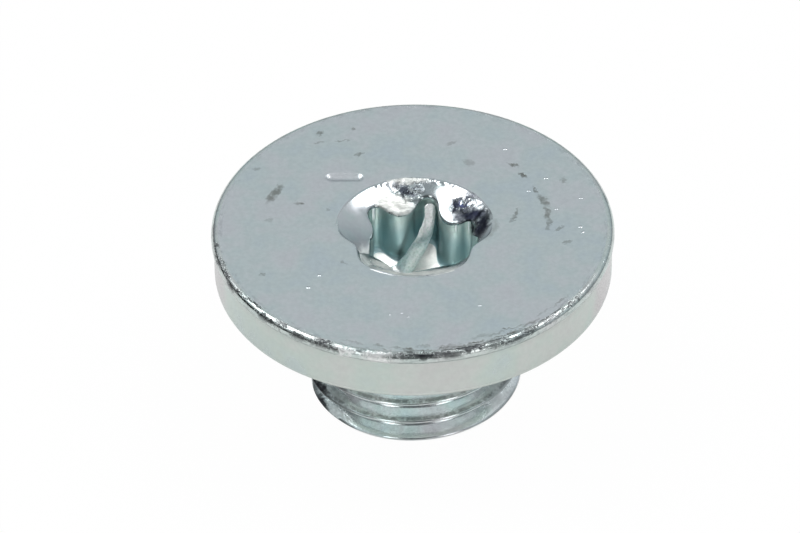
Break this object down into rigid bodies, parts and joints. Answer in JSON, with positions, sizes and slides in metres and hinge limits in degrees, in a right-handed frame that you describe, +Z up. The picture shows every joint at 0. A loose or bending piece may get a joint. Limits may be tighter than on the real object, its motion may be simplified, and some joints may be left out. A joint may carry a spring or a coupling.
{
  "type": "oil drain plug",
  "caption": "Screw plug with a broad flat disc head, a countersunk lobed drive socket and a short threaded shank.",
  "frame": {"origin": "centre of the end face of the shank, which the plug stands on", "axes": "+Z up the axis of the plug, out through the head; X and Y across it"},
  "size_m": [0.026, 0.026, 0.0129],
  "materials": {
    "zinc_plate": "bright zinc plate with a clear blue passivation, satin, lightly marked from handling"
  },
  "bodies": {
    "root": {"plug_body": "zinc_plate"}
  },
  "joints": []
}
